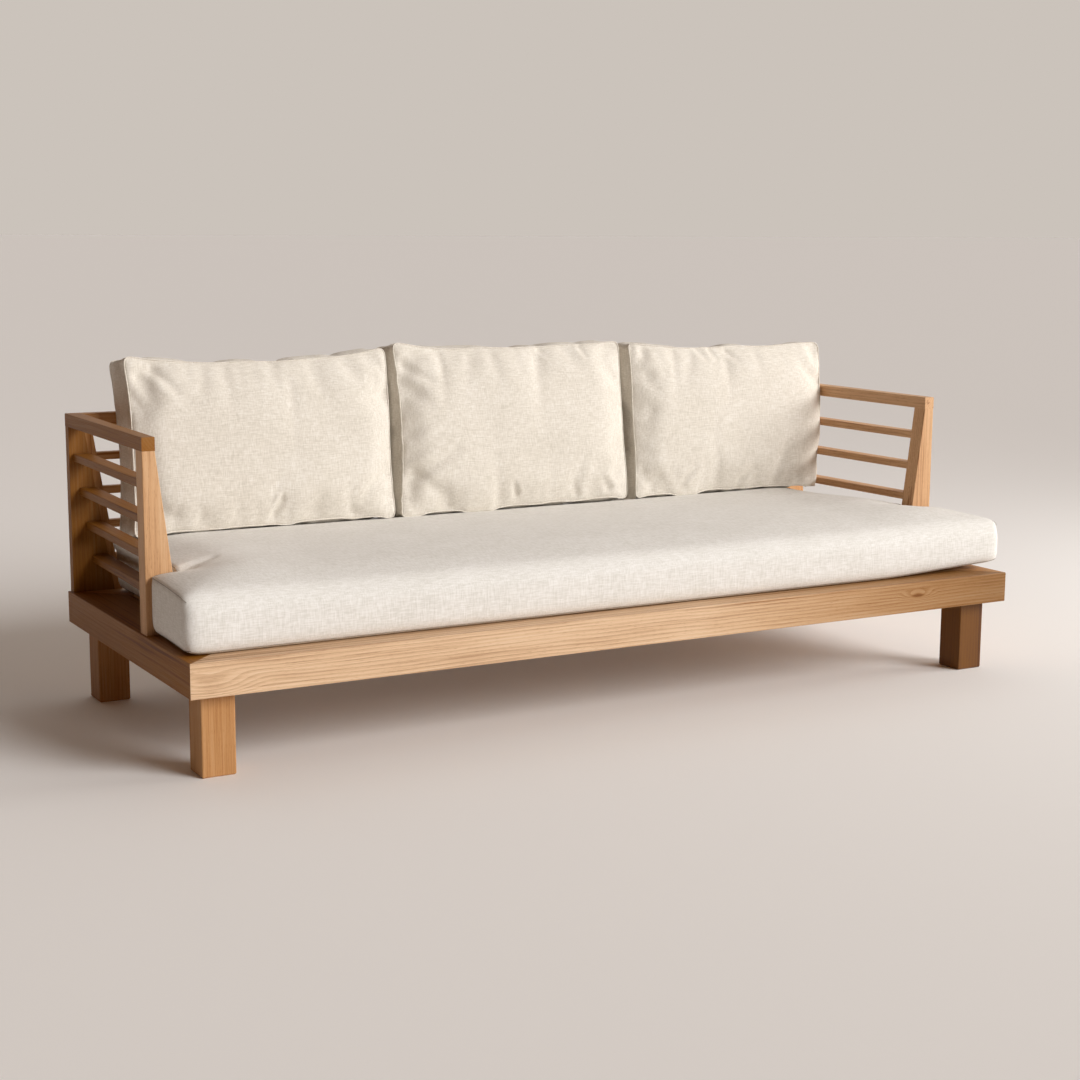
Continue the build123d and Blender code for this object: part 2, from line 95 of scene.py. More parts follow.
def newMaterial(name):
    made = bpy.data.materials.new(name)
    made.use_nodes = True
    made.node_tree.nodes.clear()
    return made, made.node_tree


# studio: pale floor, a soft key from the front right, and air that is brighter on the right

studio = {
    "floorSize": 400.0,
    "floorColour": "f2f0ee",
    "keyFrom": (0.49, -0.74, 0.46),
    "keyDistance": 8.0,
    "keyPower": 2.85,
    "keySpread": 32.0,       # degrees: how soft the shadows are
    "keyColour": (1.0, 0.995, 0.99),
    "sidePlace": (4.2, -1.2, 1.9),
    "sideSize": 1.6,
    "sidePower": 60.0,
    "sideColour": (1.0, 0.99, 0.97),
    "lampAim": (0.0, 0.0, 0.4),
    "skyToward": (0.62, 0.76, 0.18),     # the bright side of the air
    "skyFade": (-0.1, 0.75),             # dim below the first, bright above the second
    "skyBright": 0.66,
    "skyDim": 0.08,
    "skyTint": "faf4ed",
    "dimTint": "ffc088",                 # the dim side is warm
    "backdrop": "cbc3bb",                # seen behind the floor, in the floor's own far tone
}

bpy.ops.mesh.primitive_plane_add(size=studio["floorSize"])
floor = bpy.context.object
floor.name = "studioFloor"
floorMaterial, tree = newMaterial("studioPaper")
paper = addNode(tree, "ShaderNodeBsdfPrincipled", None,
                {"Base Color": colour(studio["floorColour"]), "Roughness": 0.9})
addNode(tree, "ShaderNodeOutputMaterial", None, {"Surface": paper.outputs["BSDF"]})
floor.data.materials.append(floorMaterial)

world = bpy.data.worlds.new("studioAir")
scene.world = world
world.use_nodes = True
tree = world.node_tree
tree.nodes.clear()
sky = addNode(tree, "ShaderNodeTexCoord")
side = addNode(tree, "ShaderNodeVectorMath", {"operation": "DOT_PRODUCT"},
               {0: sky.outputs["Generated"], 1: studio["skyToward"]})
share = addNode(tree, "ShaderNodeMapRange", {"interpolation_type": "SMOOTHSTEP"},
                {"Value": side.outputs["Value"],
                 "From Min": studio["skyFade"][0], "From Max": studio["skyFade"][1]})
level = addNode(tree, "ShaderNodeMapRange", None,
                {"Value": share.outputs["Result"],
                 "To Min": studio["skyDim"], "To Max": studio["skyBright"]})
tint = addNode(tree, "ShaderNodeMix", {"data_type": "RGBA"},
               {0: share.outputs["Result"], 6: colour(studio["dimTint"]), 7: colour(studio["skyTint"])})
air = addNode(tree, "ShaderNodeBackground", None,
              {"Color": tint.outputs[2], "Strength": level.outputs["Result"]})
drop = addNode(tree, "ShaderNodeBackground", None, {"Color": colour(studio["backdrop"]), "Strength": 1.0})
seen = addNode(tree, "ShaderNodeLightPath").outputs["Is Camera Ray"]
both = addNode(tree, "ShaderNodeMixShader", None,
               {0: seen, 1: air.outputs["Background"], 2: drop.outputs["Background"]})
addNode(tree, "ShaderNodeOutputWorld", None, {"Surface": both.outputs["Shader"]})


def addLamp(name, kind, place, power, tint):
    # a lamp that looks at the middle of the daybed from its place
    lamp = bpy.data.lights.new(name, kind)
    lamp.energy = power
    lamp.color = tint
    holder = bpy.data.objects.new(name, lamp)
    scene.collection.objects.link(holder)
    holder.location = place
    sight = Vector(studio["lampAim"]) - Vector(place)
    holder.rotation_euler = sight.to_track_quat("-Z", "Y").to_euler()
    return lamp


keyPlace = Vector(studio["keyFrom"]) * studio["keyDistance"]
key = addLamp("keyLight", "SUN", keyPlace, studio["keyPower"], studio["keyColour"])
key.angle = math.radians(studio["keySpread"])
sideLamp = addLamp("sideLight", "AREA", studio["sidePlace"], studio["sidePower"], studio["sideColour"])
sideLamp.size = studio["sideSize"]

camera = {
    "place": (-2.460, -4.2456, 1.1989),
    "heading": 0.518,        # from +Y towards +X, in radians
    "down": 0.165,
    "roll": 0.006,
    "lens": 62.77,           # millimetres, on the sensor's width
    "sensor": 36.0,
}
lens = bpy.data.cameras.new("studioCamera")
lens.lens = camera["lens"]
lens.sensor_width = camera["sensor"]
viewer = bpy.data.objects.new("studioCamera", lens)
scene.collection.objects.link(viewer)
viewer.matrix_world = (
    Matrix.Translation(camera["place"])
    @ Matrix.Rotation(-camera["heading"], 4, "Z")
    @ Matrix.Rotation(math.pi / 2 - camera["down"], 4, "X")
    @ Matrix.Rotation(camera["roll"], 4, "Z")
)
scene.camera = viewer
scene.view_settings.view_transform = "Standard"
print("stage, lights and camera made")

# teak: solid plantation teak, planed, sanded fine and lightly oiled
# The eye sees golden brown wood with long grain lines, darker growth rings and short fine pores.

teakLook = {
    "early": "e8c8a4",
    "middle": "dbb188",
    "late": "9c6c46",
    "ringPitch": 0.0072,        # metres from one growth ring to the next
    "ringWander": 0.012,
    "fibrePitch": 0.0013,
    "porePitch": 0.0006,
    "ringShade": 0.09,          # how much darker each kind of mark makes the wood
    "fibreShade": 0.52,
    "bandShade": 0.40,
    "streakShade": 0.30,
    "poreShade": 0.22,
    "farShadeTone": 1.0,             # the tone at the right end of a long board, beside that at its left: painted shade
    "farShadeReach": (0.15, 1.1),    # where along X the painted shade comes in
    "rich": 0.85,               # how much a dark board gains in saturation; where the darkness is painted shade, this paints shade's deeper colour
    "red": 0.016,               # how far a dark board's hue turns to red, likewise partly painted shade
    "roughness": 0.46,
    "fibreRough": 0.12,
    "bump": 0.12,
    "bumpDepth": 0.0006,
}
grainTurn = {"x": (0, 0, 0), "y": (0, 0, -math.pi / 2), "z": (0, math.pi / 2, 0)}


def makeTeak(name, along, heart, tone, look, knots=()):
    # along: the axis that the grain follows; heart: a point on the tree's middle line
    # knots: place, reach along each axis, how far the rings bend, how dark the middle is
    made, tree = newMaterial(name)
    turn = Euler(grainTurn[along])
    back = -(turn.to_matrix() @ Vector(heart))
    spot = addNode(tree, "ShaderNodeTexCoord")
    board = addNode(tree, "ShaderNodeMapping", None,
                    {"Vector": spot.outputs["Object"], "Rotation": tuple(turn), "Location": tuple(back)})

    def vectors(operation, values):
        return addNode(tree, "ShaderNodeVectorMath", {"operation": operation}, dict(enumerate(values)))

    def grainNoise(alongScale, acrossScale, detail):
        scales = (alongScale, acrossScale, acrossScale)
        drawn = vectors("MULTIPLY", (board.outputs["Vector"], scales)).outputs["Vector"]
        return addNode(tree, "ShaderNodeTexNoise", None, {"Vector": drawn, "Scale": 1.0, "Detail": detail})

    def eased(kind, value, start, end, top=1.0):
        made = addNode(tree, "ShaderNodeMapRange", {"interpolation_type": kind},
                       {"Value": value, "From Min": start, "From Max": end, "To Max": top})
        return made.outputs["Result"]

    # growth rings wander slowly along the board
    wander = (0, look["ringWander"] * 2, look["ringWander"] * 2)
    sway = vectors("SUBTRACT", (grainNoise(1.3, 7.0, 3.0).outputs["Color"], (0.5, 0.5, 0.5)))
    moved = vectors("MULTIPLY_ADD", (sway.outputs["Vector"], wander, board.outputs["Vector"]))
    flat = vectors("MULTIPLY", (moved.outputs["Vector"], (0, 1, 1)))
    bent = vectors("LENGTH", (flat.outputs["Vector"],)).outputs["Value"]
    dark = 0.0
    for place, reach, bend, deep in knots:
        away = vectors("SUBTRACT", (spot.outputs["Object"], place))
        scaled = vectors("DIVIDE", (away.outputs["Vector"], reach))
        near = vectors("LENGTH", (scaled.outputs["Vector"],)).outputs["Value"]
        bent = maths(tree, "ADD", bent, eased("SMOOTHERSTEP", near, 1.0, 0.0, bend))
        dark = maths(tree, "ADD", dark, eased("SMOOTHSTEP", near, 0.34, 0.0, deep))
    rings = maths(tree, "FRACT", maths(tree, "DIVIDE", bent, look["ringPitch"]))
    streaks = grainNoise(1.1, 75.0, 2.0).outputs["Fac"]
    fibre = grainNoise(9.0, 1 / look["fibrePitch"], 3.0).outputs["Fac"]
    band = grainNoise(1.6, 26.0, 2.0).outputs["Fac"]
    pores = grainNoise(55.0, 1 / look["porePitch"], 1.0).outputs["Fac"]
    shade = dark
    for mark, weight in (
        (eased("SMOOTHSTEP", rings, 0.2, 0.95), "ringShade"),
        (fibre, "fibreShade"),
        (band, "bandShade"),
        (eased("SMOOTHSTEP", streaks, 0.58, 0.74), "streakShade"),
        (eased("LINEAR", pores, 0.62, 0.74), "poreShade"),
    ):
        shade = maths(tree, "ADD", shade, maths(tree, "MULTIPLY", mark, look[weight]))
    ramp = addNode(tree, "ShaderNodeValToRGB", None, {"Fac": shade})
    setRamp(ramp, [(0.22, look["early"]), (0.5, look["middle"]), (0.86, look["late"])])
    # painted shade: a long board may be made darker towards its right end
    end = addNode(tree, "ShaderNodeSeparateXYZ", None, {"Vector": spot.outputs["Object"]})
    farStart, farEnd = look["farShadeReach"]
    toneWithShadeHere = addNode(tree, "ShaderNodeMapRange", None,
                       {"Value": end.outputs["X"], "From Min": farStart, "From Max": farEnd,
                        "To Min": tone, "To Max": tone * look["farShadeTone"]}).outputs["Result"]
    richer = maths(tree, "MULTIPLY_ADD", toneWithShadeHere, -look["rich"], 1 + look["rich"])
    redder = maths(tree, "MULTIPLY_ADD", toneWithShadeHere, look["red"], 0.5 - look["red"])
    toned = addNode(tree, "ShaderNodeHueSaturation", None,
                    {"Color": ramp.outputs["Color"], "Value": toneWithShadeHere,
                     "Hue": redder, "Saturation": richer})
    bump = addNode(tree, "ShaderNodeBump", None,
                   {"Height": shade, "Strength": look["bump"], "Distance": look["bumpDepth"]})
    rough = maths(tree, "MULTIPLY_ADD", fibre, look["fibreRough"], look["roughness"])
    wood = addNode(tree, "ShaderNodeBsdfPrincipled", None,
                   {"Base Color": toned.outputs["Color"], "Roughness": rough,
                    "Normal": bump.outputs["Normal"], "IOR": 1.47, "Specular IOR Level": 0.4})
    addNode(tree, "ShaderNodeOutputMaterial", None, {"Surface": wood.outputs["BSDF"]})
    return made


def finish(nodeName, material):
    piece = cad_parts[nodeName]
    piece.data.materials.clear()
    piece.data.materials.append(material)


# each board: grain direction, how far its tree's middle lies from its own middle, and its tone
# tones differ at random from board to board, and some boards are made darker to paint the shade on them
boards = {
    "front_beam": ("x", (0, 0.075, -0.19), 0.97),
    "rear_beam": ("x", (0, -0.09, 0.16), 0.66),
    # painted shade: a dark tone for the shaded left beam
    "left_beam": ("y", (0.12, 0, -0.15), 0.40),
    "right_beam": ("y", (-0.12, 0, 0.17), 0.70),
    "front_left_leg": ("z", (0.04, 0.14, 0), 0.70),
    # painted shade: a very dark tone for the front right leg
    "front_right_leg": ("z", (-0.12, 0.06, 0), 0.22),
    "rear_left_leg": ("z", (0.13, 0.05, 0), 0.50),
    "rear_right_leg": ("z", (-0.06, 0.12, 0), 0.58),
    "left_front_post": ("z", (0.03, 0.12, 0), 0.88),
    "right_front_post": ("z", (-0.05, 0.10, 0), 0.90),
    # painted shade: a dark tone for the left rear post
    "left_rear_post": ("z", (0.10, 0.11, 0), 0.38),
    "right_rear_post": ("z", (-0.08, 0.12, 0), 0.74),
    # painted shade: a dark tone for the left arm rail
    "left_arm_rail": ("y", (0.10, 0, 0.08), 0.38),
    "right_arm_rail": ("y", (-0.09, 0, 0.10), 0.92),
    "back_rail": ("x", (0, 0.10, 0.07), 0.70),
    "left_end_stile": ("z", (0.09, 0.07, 0), 0.60),
    # painted shade: a darker tone keeps the right end stile from looking lit
    "right_end_stile": ("z", (-0.07, 0.10, 0), 0.56),
    "left_back_post": ("z", (0.05, 0.12, 0), 0.66),
    "right_back_post": ("z", (-0.06, 0.11, 0), 0.70),
    "front_ledger": ("x", (0, 0.08, 0.05), 0.86),
    "rear_ledger": ("x", (0, -0.07, 0.06), 0.88),
    "left_cross_rail": ("y", (0.07, 0, 0.06), 0.88),
    "right_cross_rail": ("y", (-0.08, 0, 0.05), 0.86),
}
# painted shade: the left arm's slats get dark tones
for number in range(1, 5):
    boards[f"left_arm_slat_{number}"] = (
        "y", (0.09 - 0.012 * number, 0, 0.07 + 0.013 * number), 0.38 - 0.01 * number)
    boards[f"right_arm_slat_{number}"] = (
        "y", (-0.08, 0, 0.06 + 0.012 * number), 0.90 - 0.01 * number)
    boards[f"back_slat_{number}"] = (
        "x", (0, 0.07 + 0.01 * number, 0.09 - 0.012 * number), 0.66 + 0.015 * number)
for number in range(1, 12):
    boards[f"deck_slat_{number:02d}"] = (
        "y", (0.05 - 0.01 * number, 0, 0.12 + 0.004 * number), 0.82 + 0.02 * (number % 4))

# the front beam is paler, with plainer rings; to the right it darkens, partly darker heartwood, partly
# painted shade
beamLook = dict(teakLook, early="ead0b2", middle="dcba96", late="9a6f4b", farShadeTone=0.40, ringShade=0.15)
beamKnots = [
    ((0.855, -0.465, 0.236), (0.085, 0.05, 0.026), 0.017, 0.42),     # a knot
    ((-1.12, -0.465, 0.215), (0.16, 0.06, 0.05), 0.022, 0.10),       # curly grain at the left end
    ((-0.20, -0.465, 0.170), (0.30, 0.05, 0.030), 0.009, 0.0),       # a long wave in the rings
]
logStep = 0.37       # metres along the grain for each letter of a board's name, so that no two are alike
for nodeName, (along, away, tone) in boards.items():
    low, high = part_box(nodeName)
    heart = (low + high) / 2 + Vector(away)
    heart["xyz".index(along)] += logStep * len(nodeName)
    look = beamLook if nodeName == "front_beam" else teakLook
    knots = beamKnots if nodeName == "front_beam" else ()
    finish(nodeName, makeTeak("teak_" + nodeName, along, heart, tone, look, knots))

# beech dowels and corner keys: pale, close-grained, hidden in the joints
beechLook = dict(teakLook, early="e6c9a3", middle="d9b78c", late="c29b6c", ringPitch=0.0022)
for nodeName in ("corner_keys", "rail_dowels"):
    finish(nodeName, makeTeak("beech_" + nodeName, "x", Vector((0.3, 0.2, 0.1)), 1.0, beechLook))


# stainless steel, turned and passivated: a soft grey shine with fine turning marks
steelLook = {
    "colour": "c4c3c1",
    "markScale": 900.0,
    "roughness": (0.26, 0.42),
    "bump": 0.08,
    "bumpDepth": 0.0003,
}


def makeSteel(look):
    made, tree = newMaterial("stainless_steel_turned")
    spot = addNode(tree, "ShaderNodeTexCoord")
    marks = addNode(tree, "ShaderNodeTexNoise", None,
                    {"Vector": spot.outputs["Object"], "Scale": look["markScale"], "Detail": 3.0})
    smoothest, roughest = look["roughness"]
    rough = addNode(tree, "ShaderNodeMapRange", None,
                    {"Value": marks.outputs["Fac"], "To Min": smoothest, "To Max": roughest})
    bump = addNode(tree, "ShaderNodeBump", None,
                   {"Height": marks.outputs["Fac"], "Strength": look["bump"], "Distance": look["bumpDepth"]})
    steel = addNode(tree, "ShaderNodeBsdfPrincipled", None,
                    {"Base Color": colour(look["colour"]), "Metallic": 1.0,
                     "Roughness": rough.outputs["Result"], "Normal": bump.outputs["Normal"]})
    addNode(tree, "ShaderNodeOutputMaterial", None, {"Surface": steel.outputs["BSDF"]})
    return made


steelMaterial = makeSteel(steelLook)
for nodeName in ("leg_bolts", "ledger_screws", "deck_screws"):
    finish(nodeName, steelMaterial)
print("wood and steel finished")

# linen: plain-woven, slubby, washed
# The eye sees a matte cloth whose thick and thin threads run both ways, with a few darker flecks.

linenLook = {
    "threadPitch": 0.0026,       # real threads are about 0.6 mm: these are the finest that show
    "slubLength": 0.022,
    "cloudScale": 9.0,
    "cloudShare": 0.14,          # how much of the tone is slow clouds, beside the threads
    "roughness": 0.92,
    "sheen": 0.12,
    "bump": 0.35,
    "bumpDepth": 0.0009,
}
seatColours = {"dark": "d5d2ca", "middle": "e2dfd9", "light": "eeece8"}
backColours = {"dark": "cfc8bb", "middle": "ddd6ca", "light": "eae5dc"}
# painted shade: darker linen for the seat's seam line, standing in for the shade where the cloth folds into
# the seam
seamShadeColours = {"dark": "8d857a", "middle": "9c948a", "light": "aaa298"}


def makeLinen(name, colours, look):
    made, tree = newMaterial(name)
    spot = addNode(tree, "ShaderNodeTexCoord").outputs["Object"]
    facing = addNode(tree, "ShaderNodeNewGeometry").outputs["Normal"]
    squared = addNode(tree, "ShaderNodeVectorMath", {"operation": "MULTIPLY"}, {0: facing, 1: facing})
    share = addNode(tree, "ShaderNodeSeparateXYZ", None, {"Vector": squared.outputs["Vector"]})
    across = 1 / look["threadPitch"]
    along = 1 / look["slubLength"]

    def threads(scales):
        drawn = addNode(tree, "ShaderNodeVectorMath", {"operation": "MULTIPLY"}, {0: spot, 1: scales})
        grain = addNode(tree, "ShaderNodeTexNoise", None,
                        {"Vector": drawn.outputs["Vector"], "Scale": 1.0, "Detail": 2.0})
        return grain.outputs["Fac"]

    def blend(factor, first, second):
        return addNode(tree, "ShaderNodeMix", {"data_type": "FLOAT"},
                       {0: factor, 2: first, 3: second}).outputs[0]

    alongX = threads((along, across, across))
    alongY = threads((across, along, across))
    alongZ = threads((across, across, along))
    weft = blend(share.outputs["X"], alongX, alongY)        # side faces have no thread along X
    warp = blend(share.outputs["Z"], alongZ, alongY)        # top faces have no thread along Z
    cloth = maths(tree, "MULTIPLY", maths(tree, "ADD", weft, warp), 0.5)
    cloud = addNode(tree, "ShaderNodeTexNoise", None,
                    {"Vector": spot, "Scale": look["cloudScale"], "Detail": 3.0}).outputs["Fac"]
    mixed = blend(look["cloudShare"], cloth, cloud)
    ramp = addNode(tree, "ShaderNodeValToRGB", None, {"Fac": mixed})
    setRamp(ramp, [(0.36, colours["dark"]), (0.5, colours["middle"]), (0.64, colours["light"])])
    bump = addNode(tree, "ShaderNodeBump", None,
                   {"Height": cloth, "Strength": look["bump"], "Distance": look["bumpDepth"]})
    fabric = addNode(tree, "ShaderNodeBsdfPrincipled", None,
                     {"Base Color": ramp.outputs["Color"], "Roughness": look["roughness"],
                      "Specular IOR Level": 0.18, "Sheen Weight": look["sheen"], "Sheen Roughness": 0.6,
                      "Normal": bump.outputs["Normal"]})
    addNode(tree, "ShaderNodeOutputMaterial", None, {"Surface": fabric.outputs["BSDF"]})
    return made


seatLinen = makeLinen("linen_seat_woven", seatColours, linenLook)
backLinen = makeLinen("linen_back_woven", backColours, linenLook)
seamShadeLinen = makeLinen("linen_seam_painted_shade", seamShadeColours, linenLook)


def smoothStep(value, low, high):
    t = min(1.0, max(0.0, (value - low) / (high - low)))
    return t * t * (3 - 2 * t)


def pressed(value, limit, soft):
    # a value that would pass its limit eases up to it over a soft distance instead
    if value <= limit - soft:
        return value
    return limit - soft * math.exp((limit - soft - value) / soft)


def cutPlaces(breaks, cell):
    # even cuts of about one cell between each pair of breaks
    places = []
    for start, end in zip(breaks[:-1], breaks[1:]):
        count = max(1, round((end - start) / cell))
        places += [start + (end - start) * i / count for i in range(count)]
    return places[1:]


def pad(outline, low, high, breaks, cell):
    # a flat-sided pad over a plan outline, cut into cells
    mesh = bmesh.new()
    corners = [mesh.verts.new((x, y, low)) for x, y in outline]
    base = mesh.faces.new(corners)
    raised = bmesh.ops.extrude_face_region(mesh, geom=[base])
    top = [v for v in raised["geom"] if isinstance(v, bmesh.types.BMVert)]
    bmesh.ops.translate(mesh, verts=top, vec=(0, 0, high - low))
    bmesh.ops.recalc_face_normals(mesh, faces=mesh.faces[:])
    for axis in range(3):
        normal = Vector((0, 0, 0))
        normal[axis] = 1.0
        for place in cutPlaces(breaks[axis], cell):
            everything = mesh.verts[:] + mesh.edges[:] + mesh.faces[:]
            bmesh.ops.bisect_plane(
                mesh, geom=everything, dist=1e-6, plane_co=normal * place, plane_no=normal)
    mesh.normal_update()
    for part in (mesh.verts, mesh.edges, mesh.faces):
        part.index_update()
        part.ensure_lookup_table()
    return mesh


def markSeams(mesh, creaseOf):
    # creases the seam edges and marks their points; creaseOf gives 0 for an edge that is no seam
    crease = mesh.edges.layers.float.new("crease_edge")
    mark = mesh.verts.layers.float.new("seam")
    for edge in mesh.edges:
        strength = creaseOf(edge)
        if strength:
            edge[crease] = strength
            for v in edge.verts:
                v[mark] = 1.0


def toObject(mesh, name):
    data = bpy.data.meshes.new(name)
    mesh.to_mesh(data)
    mesh.free()
    made = bpy.data.objects.new(name, data)
    scene.collection.objects.link(made)
    return made


# linen cloth in the simulation
clothLook = {
    "mass": 0.25,
    "stretch": 30.0,
    "shear": 12.0,
}


def inflate(piece, look, capAt):
    # cloth with air inside it; capAt says how far each point may move
    start = [v.co.copy() for v in piece.data.vertices]
    onSeam = [mark.value > 0.5 for mark in piece.data.attributes["seam"].data]
    seams = piece.vertex_groups.new(name="seams")
    seams.add([i for i, held in enumerate(onSeam) if held], 1.0, "REPLACE")
    cloth = piece.modifiers.new("cloth", "CLOTH")
    settings = cloth.settings
    settings.quality = look["quality"]
    settings.mass = clothLook["mass"]
    settings.tension_stiffness = clothLook["stretch"]
    settings.compression_stiffness = clothLook["stretch"]
    settings.shear_stiffness = clothLook["shear"]
    settings.bending_stiffness = look["bending"]
    settings.use_pressure = True
    settings.uniform_pressure_force = look["pressure"]
    settings.vertex_group_shrink = "seams"
    settings.shrink_min = look["slack"]
    settings.shrink_max = look["gather"]
    if look["heldSeams"]:
        settings.vertex_group_mass = "seams"
        settings.pin_stiffness = 1.0
    settings.effector_weights.gravity = 0.0
    cloth.collision_settings.use_collision = False
    cloth.point_cache.frame_start = 1
    cloth.point_cache.frame_end = look["frames"]
    for tick in range(1, look["frames"] + 1):
        scene.frame_set(tick)
    graph = bpy.context.evaluated_depsgraph_get()
    blown = [v.co.copy() for v in piece.evaluated_get(graph).data.vertices]
    piece.modifiers.remove(cloth)
    piece.vertex_groups.remove(seams)
    steps = [(new - old) * look["share"] for old, new in zip(start, blown)]
    steps = calmed(piece.data, steps, onSeam, look["calm"])
    for vertex, old, step in zip(piece.data.vertices, start, steps):
        cap = capAt(old)
        if step.length > 0:
            step *= cap * math.tanh(step.length / cap) / step.length
        vertex.co = old + step
    print(piece.name, "moved up to", round(max(step.length for step in steps) * 1000), "mm")
    scene.frame_set(1)


def calmed(mesh, steps, onSeam, rounds):
    # evens out the moves of neighbouring points; a seam's points follow only the seam
    pairs = []
    for edge in mesh.edges:
        a, b = edge.vertices
        if onSeam[b] or not onSeam[a]:
            pairs.append((a, b))
        if onSeam[a] or not onSeam[b]:
            pairs.append((b, a))
    for turn in range(rounds):
        total = [step.copy() for step in steps]
        count = [1] * len(steps)
        for taker, giver in pairs:
            total[taker] += steps[giver]
            count[taker] += 1
        steps = [step / number for step, number in zip(total, count)]
    return steps


def subdivide(piece):
    smooth = piece.modifiers.new("rounding", "SUBSURF")
    smooth.levels = 1
    smooth.render_levels = 1
    graph = bpy.context.evaluated_depsgraph_get()
    done = bpy.data.meshes.new_from_object(
        piece.evaluated_get(graph), preserve_all_data_layers=True, depsgraph=graph)
    piece.modifiers.remove(smooth)
    old = piece.data
    piece.data = done
    bpy.data.meshes.remove(old)
    for face in piece.data.polygons:
        face.use_smooth = True


foldLook = {
    "taper": 0.55,               # how much shallower a fold is at its end
    "ridge": 0.5,                # height of the ridge beside it, as a share of its depth
    "ridgePlace": 1.7,           # how far the ridge stands from it, in widths
    "ridgeLength": (1.2, 3.5),   # in widths: shorter folds have no ridge, longer ones a full one
}


def fold(point, start, end, depth, width, ridge=foldLook["ridge"]):
    # how deep a fold between two points of a flat face is at a point
    along = end - start
    length = along.length
    along = along / length
    offset = point - start
    share = offset.dot(along) / length
    aside = offset.x * along.y - offset.y * along.x
    beyond = max(0.0, -share, share - 1.0) * length / width
    fade = math.exp(-beyond * beyond) * (1.0 - foldLook["taper"] * min(1.0, max(0.0, share)))
    near = aside / width
    ridge *= smoothStep(length / width, *foldLook["ridgeLength"])
    return depth * fade * (math.exp(-near * near) - ridge * math.exp(-(near - foldLook["ridgePlace"]) ** 2))


def seamChains(piece):
    # runs of the seam's points, in order: each is a list of places and whether it closes on itself
    mesh = bmesh.new()
    mesh.from_mesh(piece.data)
    mark = mesh.verts.layers.float["seam"]
    joined = {}
    for edge in mesh.edges:
        a, b = edge.verts
        if a[mark] > 0.99 and b[mark] > 0.99:
            joined.setdefault(a.index, []).append(b.index)
            joined.setdefault(b.index, []).append(a.index)
    mesh.verts.ensure_lookup_table()
    used = set()         # pairs of neighbours, both ways round
    reached = set()
    chains = []
    ends = [i for i in sorted(joined) if len(joined[i]) != 2]
    for first in ends + sorted(joined):
        for step in joined[first]:
            if (first, step) in used or (first not in ends and first in reached):
                continue
            chain = [first, step]
            used.update({(first, step), (step, first)})
            while len(joined[chain[-1]]) == 2 and chain[-1] != first:
                onward = [i for i in joined[chain[-1]] if i != chain[-2]][0]
                used.update({(chain[-1], onward), (onward, chain[-1])})
                chain.append(onward)
            reached.update(chain)
            closed = chain[-1] == first
            if closed:
                chain.pop()
            chains.append(([mesh.verts[i].co.copy() for i in chain], closed))
    mesh.free()
    return chains


def makeSeam(name, chains, radius, material):
    # a fine roll of cloth or thread along the seam; in the darker linen it also paints the shade of the
    # seam's groove
    line = bpy.data.curves.new(name, "CURVE")
    line.dimensions = "3D"
    line.bevel_depth = radius
    line.bevel_resolution = 1
    for places, closed in chains:
        run = line.splines.new("POLY")
        run.points.add(len(places) - 1)
        for point, place in zip(run.points, places):
            point.co = (*place, 1.0)
        run.use_cyclic_u = closed
    drawn = bpy.data.objects.new(name + "_line", line)
    scene.collection.objects.link(drawn)
    graph = bpy.context.evaluated_depsgraph_get()
    data = bpy.data.meshes.new_from_object(drawn.evaluated_get(graph))
    bpy.data.objects.remove(drawn)
    data.materials.clear()
    data.materials.append(material)
    made = bpy.data.objects.new(name, data)
    scene.collection.objects.link(made)
    for face in data.polygons:
        face.use_smooth = True
    return made


# seat cushion: foam with a soft wrap, cut round the arms; its cloth wraps over the front edge

seat = {
    "left": seatLow.x - 0.024,
    "right": seatHigh.x + 0.036,
    "front": seatLow.y - 0.006,
    "lowZ": platformTop + 0.0008,
    "rimZ": seatHigh.z - 0.014,      # top of the rim
    "crown": 0.017,                  # how much higher the middle is than the rim
    "crownReach": 0.075,
    "cell": 0.0185,
    "cap": 0.011,
    "pressure": 3.0,
    "heldSeams": False,
    "share": 1.0,                    # how much of the cloth's move is kept
    "calm": 0,
    "quality": 5,
    "frames": 18,
    "bending": 4.0,
    "slack": -0.006,
    "gather": 0.004,
    "topFrontRound": 0.042,
    "lowFrontRound": 0.024,
    "cornerRound": 0.032,
    "lowEndRound": 0.032,
    "topEndRound": 0.012,
    "notchRound": 0.008,
    "lowRearRound": 0.030,           # along the sides of the part between the arms
    "topCrease": 0.7,                # how sharp the seams stay
    "lowCrease": 0.35,
    "notchFold": (-0.080, 0.036),    # how far a dip runs inwards from each notch
    "notchDepth": 0.012,
    "notchWidth": 0.012,
    "swell": 0.018,                  # fuller beside the front posts
    "swellAt": (1.0, -0.10),
    "swellReach": (0.15, 0.22),
    "lift": 0.016,                   # the right front corner curls up off the wood
    "liftFromX": 0.75,
    "liftFromY": (0.10, 0.40),       # distances in front of the middle: none, full
    "liftHeight": 0.10,
    "sitSlope": 0.016,               # over how far the cloth goes down under the back cushions
    "postGap": 0.0035,
    "fillHeight": 0.025,             # over what height the cloth fills out above the lowest slat
    "seamRadius": 0.0011,
}
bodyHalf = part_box("seat_core_rear")[1].x + 0.003
stepY = frontPost[0].y - seat["postGap"]
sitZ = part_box("back_cover_middle")[0].z - 0.0006     # where the back cushions press the seat down
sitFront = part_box("back_cover_middle")[0].y + 0.012
slant = {"front": 0.124, "rear": 0.158, "fromZ": 0.2715}     # how the posts' inner faces lean outwards


def sideRoom(y, z):
    # half the clear width between the arms
    front = frontPost[1].x - slant["front"] * (z - slant["fromZ"])
    rear = rearPost[1].x - slant["rear"] * (z - slant["fromZ"])
    share = min(1.0, max(0.0, (y - frontPost[1].y) / (rearPost[0].y - frontPost[1].y)))
    return -(front + (rear - front) * share)


